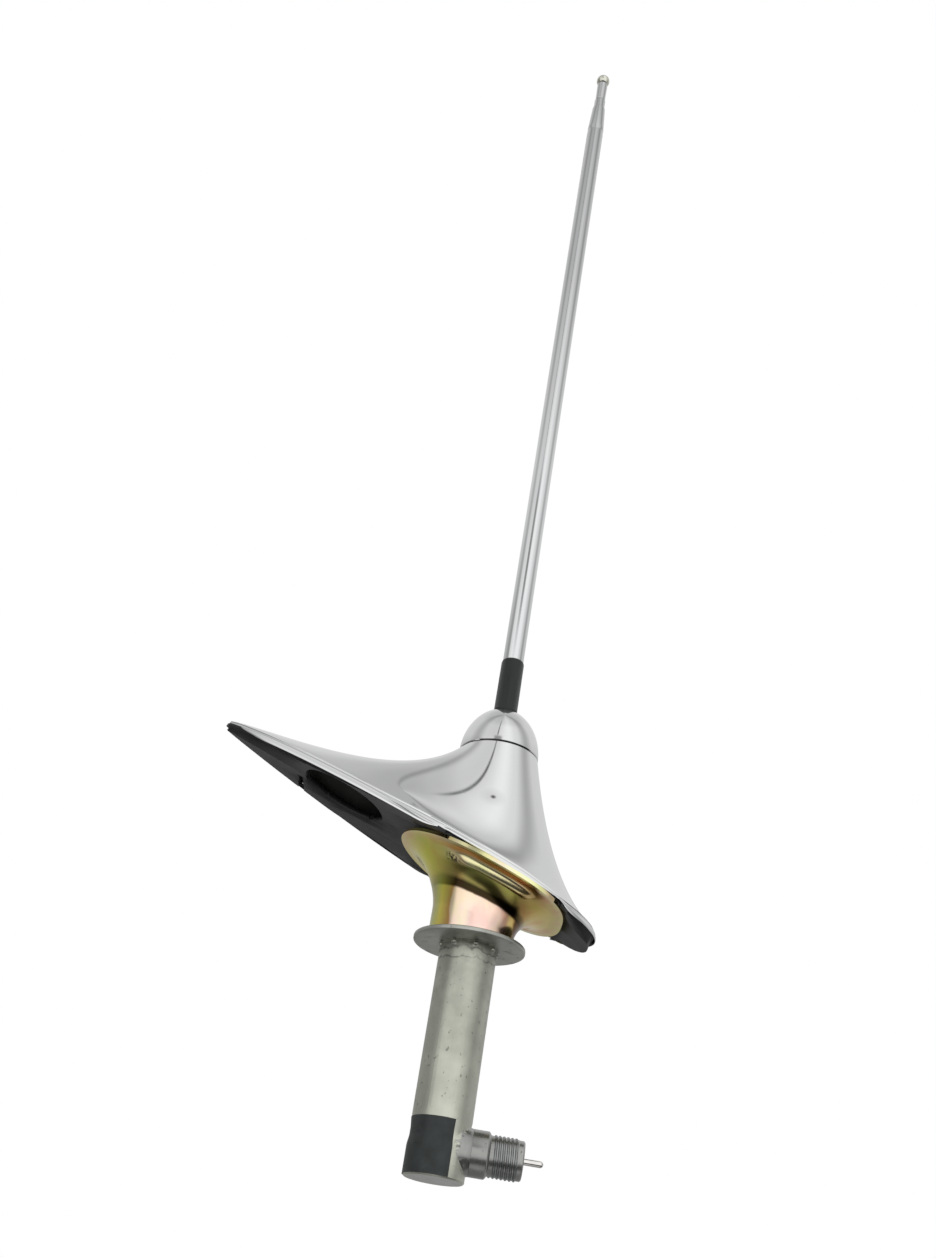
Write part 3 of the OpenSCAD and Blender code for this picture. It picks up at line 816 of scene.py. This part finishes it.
outside = [lip_ring(short, long) for short, long in (
    ((0.20, 0.0), (1.03, 0.0)), ((0.30, 0.0), (1.04, -1.0)), ((0.42, 0.08), (1.18, -0.97)),
    ((0.50, 0.25), (1.25, -0.85)), ((0.50, 0.35), (1.25, -0.45)), ((0.50, 0.45), (0.95, 0.0)),
    ((0.50, 0.55), (0.70, 0.42)), ((0.34, 0.66), (0.36, 0.60)), ((0.05, 0.70), (0.05, 0.68)),
    ((0.16, 0.93), (0.16, 0.93)), ((0.10, 0.99), (0.10, 0.99)),
)]
flank = [
    lambda a, t=t: skin(1 - t, a, outline(a), COLLAR_R, COLLAR_Z, lip_top(a))
    for t in spread(0, 1, 48)
]
top_rim = [circle_at(SEAT_BORE_R, COLLAR_Z), circle_at(SEAT_BORE_R, COLLAR_Z - SEAT_BORE_DEPTH)]
inside = [
    lambda a, u=u: skin(
        u, a, hollow_foot(a), COLLAR_R - WALL, COLLAR_Z - SEAT_BORE_DEPTH, HOLLOW_H,
    )
    for u in spread(0, 1, 16)
]
plated = outside + flank + top_rim
marks = [1.0] + [0.0] * len(plated) + [1.0] * (len(inside) + 1)
bm = loft([hollow_edge] + plated + inside + [hollow_edge], COUNT, marks)
shell = keep(bm, "swept_base", "antenna_base", base_chrome, ["base_bezel"], sharp=40)
shell.data.materials.append(bare_and_shaded_inside)
unplated_and_shaded = shell.data.attributes["outward"].data
# faces of the hollow take the nearly black finish, painted shade of the hollow
for face in shell.data.polygons:
    if max(unplated_and_shaded[i].value for i in face.vertices) > 0.5:
        face.material_index = 1

# %% [markdown]
# ## The gasket
# The gasket's solid has nearly the right form, so it is copied, its loose triangles are
# merged, and a fine bevel rounds the rubber's corners.

# %% A copy of a solid with merged faces


def copy_of(node, soften):
    bm = bmesh.new()
    bm.from_mesh(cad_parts[node].data)
    bmesh.ops.remove_doubles(bm, verts=bm.verts, dist=0.002 * MM)
    bmesh.ops.dissolve_limit(bm, angle_limit=math.radians(0.4), verts=bm.verts, edges=bm.edges)
    soften_corners(bm, soften, 35, 2)
    return bm


print("solids to copy: gasket, body_casting")

# %% [markdown]
# The opening under the tail reaches closer to the near edge than in the solid. The near
# half of the rubber is cut across at 17 stations, and then every corner is moved
# sideways: those in the opening by a fixed factor, and those between the opening and the
# edge by less and less, so that the edge itself stays where it is.

# %% Widen the near half of the opening
HOLE_S, HOLE_HALF_LEN, HOLE_HALF_W, HOLE_WIDER = -54.0, 16.6, 9.3, 1.84


def cut_near_half(bm, station):
    near = [f for f in bm.faces if f.calc_center_median().y < 0]
    near_edges = {e for f in near for e in f.edges}
    near_verts = {v for f in near for v in f.verts}
    bmesh.ops.bisect_plane(
        bm, geom=near + list(near_edges) + list(near_verts), dist=0.001 * MM,
        plane_co=seat(station, 0, 0) * MM, plane_no=(math.cos(SLOPE), 0, -math.sin(SLOPE)),
    )


def widened(y, along):
    share = (along - HOLE_S) / HOLE_HALF_LEN
    if y >= 0 or abs(share) >= 1:
        return y
    edge_a = next(a for a in range(270, 179, -1) if outline(a).x <= along)
    rail = abs(outline(edge_a).y)
    hole = HOLE_HALF_W * math.sqrt(1 - share * share)
    if -y >= rail:
        return y
    if -y <= hole:
        return y * HOLE_WIDER
    return -(hole * HOLE_WIDER + (-y - hole) * (rail - hole * HOLE_WIDER) / (rail - hole))


bm = copy_of("gasket", 0.25)
for station in spread(HOLE_S - HOLE_HALF_LEN, HOLE_S + HOLE_HALF_LEN, 16):
    cut_near_half(bm, station)
moved = 0
for v in bm.verts:
    x, y, z = v.co / MM
    wide = -widened(y, x * math.cos(SLOPE) - z * math.sin(SLOPE))
    if wide != -y:
        v.co += (seat(0, 0, crown(y) - crown(wide)) + Vector((0, -wide - y, 0))) * MM
        moved += 1
print("corners moved at the rubber's opening:", moved)

# %% [markdown]
# In front the lip of the base is tucked in a little, and the upper layer of the rubber
# follows it, so that it stays hidden behind the lip.

# %% Tuck the front in and keep the gasket
PLATE_BELOW, TUCK_MORE, TUCK_START, TUCK_END = -1.4, 1.4, 22, 36
for v in bm.verts:
    x, y, z = v.co.x / MM, v.co.y / MM, v.co.z / MM
    along = x * math.cos(SLOPE) - z * math.sin(SLOPE)
    above = x * math.sin(SLOPE) + z * math.cos(SLOPE) + crown(y)
    if above > PLATE_BELOW:
        v.co.x -= TUCK_MORE * FRONT_TUCK * smooth(TUCK_START, TUCK_END, along) * MM
keep(bm, "rubber_gasket", "antenna_base", black_rubber, ["gasket"], sharp=50)

# %% [markdown]
# ## The clamp
# The clamp is one sheet, drawn into a funnel: a round neck on the flange, a fillet,
# and a skirt that opens to an oblong rim. A ridge is pressed into each side, with a
# shallow valley beyond it, and both fade at their ends. Each line from neck to rim is a
# cubic curve, and the clamp is lofted like the base, up the outside and back down the
# inside.

# %% Build the clamp
NECK_R, SHEET = 14.1, 1.2
RIM_LEN, RIM_W, RIM_SHIFT, RIM_CROWN = 31.1, 26.0, 1.8, 540.0
GASKET_T, LAND_T, LIFT, RIDGE_H = 1.3, 1.7, 0.04, 1.7
RIDGE_FROM, RIDGE_TO, VALLEY_TO, VALLEY_SHARE, RIDGE_LEAN = 0.6, 0.79, 0.94, 0.2, 1.5
FADE_TURN, FADE_START, FADE_SPAN = 8, 0.78, 0.16
FILLET_Z, FILLET_DIP, NECK_RISE, RIM_RUN, FOOT_H = -20, 4, 8, 9, 2


def rim_depth(s):
    return GASKET_T + LIFT + LAND_T * (RIM_SHIFT + RIM_LEN - s) / (2 * RIM_LEN)


def rim_drop(y):
    return RIM_CROWN - math.sqrt(RIM_CROWN * RIM_CROWN - y * y)


def rim_point(a, h):
    c, s = math.cos(math.radians(a)), math.sin(math.radians(a))
    blunt = 1.02 if c < 0 else 0.72
    x = RIM_SHIFT + RIM_LEN * math.copysign(abs(c) ** blunt, c)
    y = RIM_W * math.copysign(abs(s) ** blunt, s)
    return seat(x, y, h - rim_drop(y) - rim_depth(x))


def ridge(a, t):
    b = min(a % 360, 360 - a % 360)
    turned_by = math.radians(b + FADE_TURN)
    fade = min(1, max(0, (math.sin(turned_by) - FADE_START) / FADE_SPAN))
    wave = 0
    if RIDGE_FROM <= t < RIDGE_TO:
        share = (t - RIDGE_FROM) / (RIDGE_TO - RIDGE_FROM)
        wave = -RIDGE_H * math.sin(math.pi * share ** RIDGE_LEAN)
    elif RIDGE_TO <= t < VALLEY_TO:
        phase = math.pi * (t - RIDGE_TO) / (VALLEY_TO - RIDGE_TO)
        wave = VALLEY_SHARE * RIDGE_H * math.sin(phase)
    return wave * fade * fade * (3 - 2 * fade)


def clamp_point(a, t, inset):
    c, s = math.cos(math.radians(a)), math.sin(math.radians(a))
    r = NECK_R - inset
    rim = rim_point(a, inset - SHEET)
    mid = seat(0, 0, inset - SHEET - rim_depth(0))
    p0 = Vector((r * c, r * s, FILLET_Z - FILLET_DIP * c))
    p1 = p0 + Vector((0, 0, NECK_RISE))
    p2 = rim - RIM_RUN * (rim - mid).normalized()
    v = 1 - t
    path = v ** 3 * p0 + 3 * v * v * t * p1 + 3 * v * t * t * p2 + t ** 3 * rim
    return path + Vector((0, 0, ridge(a, t)))


stations = spread(0, 1, 80)
rings = [circle_at(NECK_R, flange_high), circle_at(NECK_R, flange_high + FOOT_H)]
marks = [0.0, 0.05]
for inset, order in ((0, stations), (SHEET, stations[::-1])):
    for t in order:
        rings.append(lambda a, t=t, inset=inset: clamp_point(a, t, inset))
        marks.append(0.1 + 0.9 * t)
rings += [circle_at(NECK_R - SHEET, flange_high + FOOT_H), circle_at(NECK_R - SHEET, flange_high)]
rings.append(rings[0])
marks += [0.05, 0.0, 0.0]
bm = loft(rings, 240, marks)
keep(bm, "zinc_clamp", "antenna_base", clamp_zinc, ["under_panel_clamp"], sharp=50)

# %% [markdown]
# ## Flange and body
# The flange is a stamped disc, so its edge is slightly rounded. The body is copied from
# its solid. Its long faces are cut across at a few heights, because a smooth face takes
# its shading from its corners, and the small stakes under the flange would otherwise
# draw streaks down the whole tube. The round boss that takes the outlet is machined, so
# its faces get a smoother finish.

# %% Flange and body casting
SHOULDER_R, BOSS_REACH, BODY_R, FLANGE_BORE_R = 6.95, 7.9, 9.52, 8.75
bm = lathe(
    [
        (FLANGE_BORE_R, flange_low), (flange_r, flange_low), (flange_r, flange_high),
        (FLANGE_BORE_R, flange_high),
    ],
    turns=128, soften=0.35,
)
keep(bm, "flange_plate", "antenna_base", flange_zinc, ["support_flange"])
bm = copy_of("body_casting", 0.2)
for z in (flange_low - 2.2, -45, -60, -75, -79):
    bmesh.ops.bisect_plane(
        bm, geom=list(bm.verts) + list(bm.edges) + list(bm.faces), dist=0.001 * MM,
        plane_co=(0, 0, z * MM), plane_no=(0, 0, 1),
    )
body = keep(bm, "cast_body", "antenna_base", cast_zinc, ["body_casting"])
body.data.materials.append(machined_zinc)
boss_z = low("outlet_shell").z + SHOULDER_R
turned_faces = 0
for face in body.data.polygons:
    x, y, z = face.center / MM
    off_axis = math.hypot(y, z - boss_z)
    if x > 4 and off_axis < BOSS_REACH and math.hypot(x, y) > BODY_R:
        face.material_index = 1
        turned_faces += 1
print("turned faces of the boss:", turned_faces)

# %% [markdown]
# ## The coaxial outlet
# The outlet is turned from steel: a smooth shoulder, then a threaded barrel. A true
# thread climbs, so its ridge is a small section with four corners that is spun with a
# step along the axis, sunk slightly into a plain core.

# %% Outlet shell and thread
outlet_z = low("outlet_shell").z + (high("outlet_shell").z - low("outlet_shell").z) / 2
outlet_end = high("outlet_shell").x
OUTLET_BORE_R, OUTLET_START, THREAD_START = 4.6, 10.1, 16.5
ROOT_R, CREST_R, SUNK, PITCH, TURNS, STEP = 5.95, 6.25, 0.2, 1.27, 6.0, 64
bm = lathe(
    [
        (OUTLET_BORE_R, OUTLET_START), (SHOULDER_R, OUTLET_START), (SHOULDER_R, 15),
        (SHOULDER_R - 0.35, 15.4), (ROOT_R, 15.8), (ROOT_R, outlet_end - 2.0),
        (ROOT_R - 0.1, outlet_end - 1.8), (ROOT_R - 0.1, outlet_end - 0.4),
        (ROOT_R - 0.5, outlet_end), (OUTLET_BORE_R, outlet_end),
    ],
    turns=96, lying_at=(0, 0, outlet_z), soften=0.15,
)
keep(bm, "outlet_barrel", "antenna_base", machined_zinc, ["outlet_shell"])

thread = bmesh.new()
corners = [(ROOT_R - SUNK, -0.58), (CREST_R, -0.22), (CREST_R, 0.22), (ROOT_R - SUNK, 0.58)]
verts = [thread.verts.new((r * MM, 0, z * MM)) for r, z in corners]
start = [thread.faces.new(verts)]
bmesh.ops.spin(
    thread, geom=start, cent=(0, 0, 0), axis=(0, 0, 1), dvec=(0, 0, PITCH * MM / STEP),
    angle=math.tau * TURNS, steps=int(STEP * TURNS),
)
lay_along_x(thread, (THREAD_START, 0, outlet_z))
keep(thread, "outlet_thread_ridge", "antenna_base", dark_steel, ())

# %% [markdown]
# The contact pin is a thin rod with a shoulder inside the outlet and a round nose.

# %% Contact pin
PIN_START, PIN_R, SEATED_R = 10, 1, 1.25
pin_end = high("contact_pin").x
bm = lathe(
    [(0, PIN_START), (SEATED_R, PIN_START), (SEATED_R, outlet_end - 0.6), (PIN_R, outlet_end - 0.6)]
    + arc(PIN_R, pin_end - PIN_R, PIN_R, range(0, 90, 10)) + [(0, pin_end)],
    turns=48, lying_at=(0, 0, outlet_z), closed=False,
)
keep(bm, "pin", "antenna_base", bright_nickel, ["contact_pin"])

# %% [markdown]
# ## Pieces that keep their solid
# The seal, the bushes and the conductor are right as they are, and only get a finish.

# %% Finish the remaining nodes
for node, material in {
    "cap_seal": black_rubber, "upper_bush": white_plastic, "lower_bush": white_plastic,
    "outlet_insulator": white_plastic, "mast_ferrule": brass, "middle_guide_bush": brass,
    "inner_guide_bush": brass, "inner_conductor": copper, "mast_inner_rod": mast_chrome,
    # the end plug takes the darker machined finish as painted shade under the foot
    "end_plug": machined_zinc, "blank_label": label_film,
}.items():
    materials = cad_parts[node].data.materials
    materials.clear()
    materials.append(material)
    print(node, "->", material.name)

# %% [markdown]
# ## Studio
# The photograph was taken from low in front. The camera's place and turn come from
# fitting the drawing to the picture.

# %% Camera
camera = bpy.data.objects.new("camera", bpy.data.cameras.new("camera"))
bpy.context.scene.collection.objects.link(camera)
right = Vector((0.98748, -0.04511, 0.15116))
up = Vector((-0.15306, -0.50589, 0.84891))
back = Vector((0.03818, -0.86142, -0.50646))
turn = Matrix((right, up, back)).transposed().to_4x4()
camera.matrix_world = Matrix.Translation((0, -0.42367, -0.15529)) @ turn
camera.data.lens = 37.2
camera.data.clip_start = 0.01
bpy.context.scene.camera = camera
print("camera at", tuple(round(v, 3) for v in camera.location))

# %% [markdown]
# The world is white where the camera looks past the object. Mirrors see a fuller studio,
# painted by direction: the azimuth runs from -180 to 180 degrees with 0 in front, and the
# height from the floor to the ceiling. The walls are bright in front and darker to each
# side, where the big soft lights end, and the ceiling is darker too.

# %% Directions of the studio
world = bpy.data.worlds.new("studio")
bpy.context.scene.world = world
world.use_nodes = True
world.node_tree.nodes.clear()


def world_band(share, stops):
    band = ramp(world, share, "Result", [(place_on, grey(value)) for place_on, value in stops])
    band.color_ramp.interpolation = "EASE"
    return band.outputs["Color"]


def at(degrees):
    return (degrees + 180) / 360


def rising(degrees):
    return (math.sin(math.radians(degrees)) + 1) / 2


axes = add(world, "ShaderNodeSeparateXYZ")
join(world, add(world, "ShaderNodeTexCoord"), "Generated", axes, 0)
minus_y = add(world, "ShaderNodeMath", operation="MULTIPLY")
minus_y.inputs[1].default_value = -1
join(world, axes, "Y", minus_y, 0)
azimuth = add(world, "ShaderNodeMath", operation="ARCTAN2")
join(world, axes, "X", azimuth, 0)
join(world, minus_y, "Value", azimuth, 1)
around = share_of(world, azimuth, "Value", -math.pi, math.pi)
height = share_of(world, axes, "Z", -1, 1)
print("directions ready")

# %% Walls and ceiling
high_walls = world_band(around, [
    (0.0, 0.80), (at(-110), 0.80), (at(-76), 0.56), (at(-48), 0.84), (at(-24), 0.82),
    (at(20), 1.15), (at(48), 0.95), (at(80), 0.54), (at(112), 0.82), (1.0, 0.80),
])
low_walls = world_band(around, [
    (0.0, 0.46), (at(-110), 0.40), (at(-76), 0.32), (at(-66), 0.36), (at(-55), 1.0),
    (at(-20), 1.18), (at(30), 1.15), (at(60), 0.75), (at(80), 0.38), (at(104), 0.60),
    (1.0, 0.50),
])
rise = world_band(height, [(rising(14), 0.0), (rising(36), 1.0)])
walls = blend(world, rise, low_walls, high_walls)
front_heights = world_band(height, [
    (0.0, 0.55), (rising(-66), 0.45), (rising(-54), 0.05), (rising(-34), 0.03),
    (rising(-24), 0.9), (rising(-10), 1.0), (rising(53), 1.0), (rising(72), 0.82), (1.0, 0.72),
])
back_heights = world_band(height, [
    (0.0, 0.60), (rising(-50), 0.62), (rising(-20), 0.85), (rising(0), 1.0), (rising(53), 1.0),
    (rising(72), 0.82), (1.0, 0.72),
])
front = world_band(around, [
    (at(-104), 0.0), (at(-54), 0.75), (at(-22), 1.0), (at(98), 1.0), (at(122), 0.0),
])
heights = blend(world, front, back_heights, front_heights)
lit_walls = blend(world, 1.0, walls, heights, "MULTIPLY")
print("walls ready")

# %% [markdown]
# Two dark places finish what the mirrors see: a narrow gap between the lights, which
# draws the thin curved line on the base, and a darker patch below it. Dull surfaces get
# an even light of three quarters, whatever the mirrors see.

# %% Dark places, and what each kind of ray sees
gap_side = world_band(around, [
    (at(-14.6), 0.0), (at(-13.4), 1.0), (at(-11.6), 1.0), (at(-10.4), 0.0),
])
gap_height = world_band(height, [
    (rising(33), 0.0), (rising(38), 0.95), (rising(62), 0.8), (rising(84), 0.0),
])
patch_side = world_band(around, [
    (at(-26), 0.0), (at(-16), 1.0), (at(-4), 1.0), (at(6), 0.0),
])
patch_height = world_band(height, [
    (rising(17), 0.0), (rising(25), 0.75), (rising(31), 0.65), (rising(37), 0.0),
])
dark = add(world, "ShaderNodeRGB")
dark.outputs[0].default_value = (0.08, 0.08, 0.08, 1)
studio = lit_walls
for across, upright in ((gap_side, gap_height), (patch_side, patch_height)):
    share = blend(world, 1.0, across, upright, "MULTIPLY")
    studio = blend(world, share, studio, dark.outputs[0])

for_mirrors = add(world, "ShaderNodeBackground", Strength=1.0)
world.node_tree.links.new(studio, for_mirrors.inputs["Color"])
for_paint = add(world, "ShaderNodeBackground", Strength=0.75, Color=(1, 1, 1, 1))
for_camera = add(world, "ShaderNodeBackground", Strength=1.0, Color=(1, 1, 1, 1))
ray = add(world, "ShaderNodeLightPath")
by_surface = add(world, "ShaderNodeMixShader")
join(world, ray, "Is Glossy Ray", by_surface, "Fac")
join(world, for_paint, "Background", by_surface, 1)
join(world, for_mirrors, "Background", by_surface, 2)
by_camera = add(world, "ShaderNodeMixShader")
join(world, ray, "Is Camera Ray", by_camera, "Fac")
join(world, by_surface, "Shader", by_camera, 1)
join(world, for_camera, "Background", by_camera, 2)
join(world, by_camera, "Shader", add(world, "ShaderNodeOutputWorld"), "Surface")
print("world ready")

# %% [markdown]
# A pale floor lies well below the part, out of the picture, and one soft lamp gives the
# dull pieces their light and shade. Mirrors see neither of them.

# %% Floor and lamp
FLOOR_Z = -0.26
bm = bmesh.new()
bmesh.ops.create_grid(bm, x_segments=2, y_segments=2, size=2.0)
bmesh.ops.translate(bm, verts=bm.verts, vec=(0, 0, FLOOR_Z))
floor_mesh = bpy.data.meshes.new("floor")
bm.to_mesh(floor_mesh)
bm.free()
floor = bpy.data.objects.new("floor", floor_mesh)
bpy.context.scene.collection.objects.link(floor)
pale, _ = start_finish("pale_floor", (0.82, 0.82, 0.82), 0.0, 0.9)
floor_mesh.materials.append(pale)
floor.visible_glossy = False

light = bpy.data.lights.new("front_lamp", "AREA")
light.size = 0.5
light.energy = 2.5
lamp = bpy.data.objects.new("front_lamp", light)
lamp.location = (0.35, -0.7, 0.35)
aim = Vector((0, 0, 0.05)) - lamp.location
lamp.rotation_euler = aim.to_track_quat("-Z", "Y").to_euler()
bpy.context.scene.collection.objects.link(lamp)
lamp.visible_glossy = False
bpy.context.scene.view_settings.view_transform = "Standard"
print("floor at", FLOOR_Z, "and one lamp")
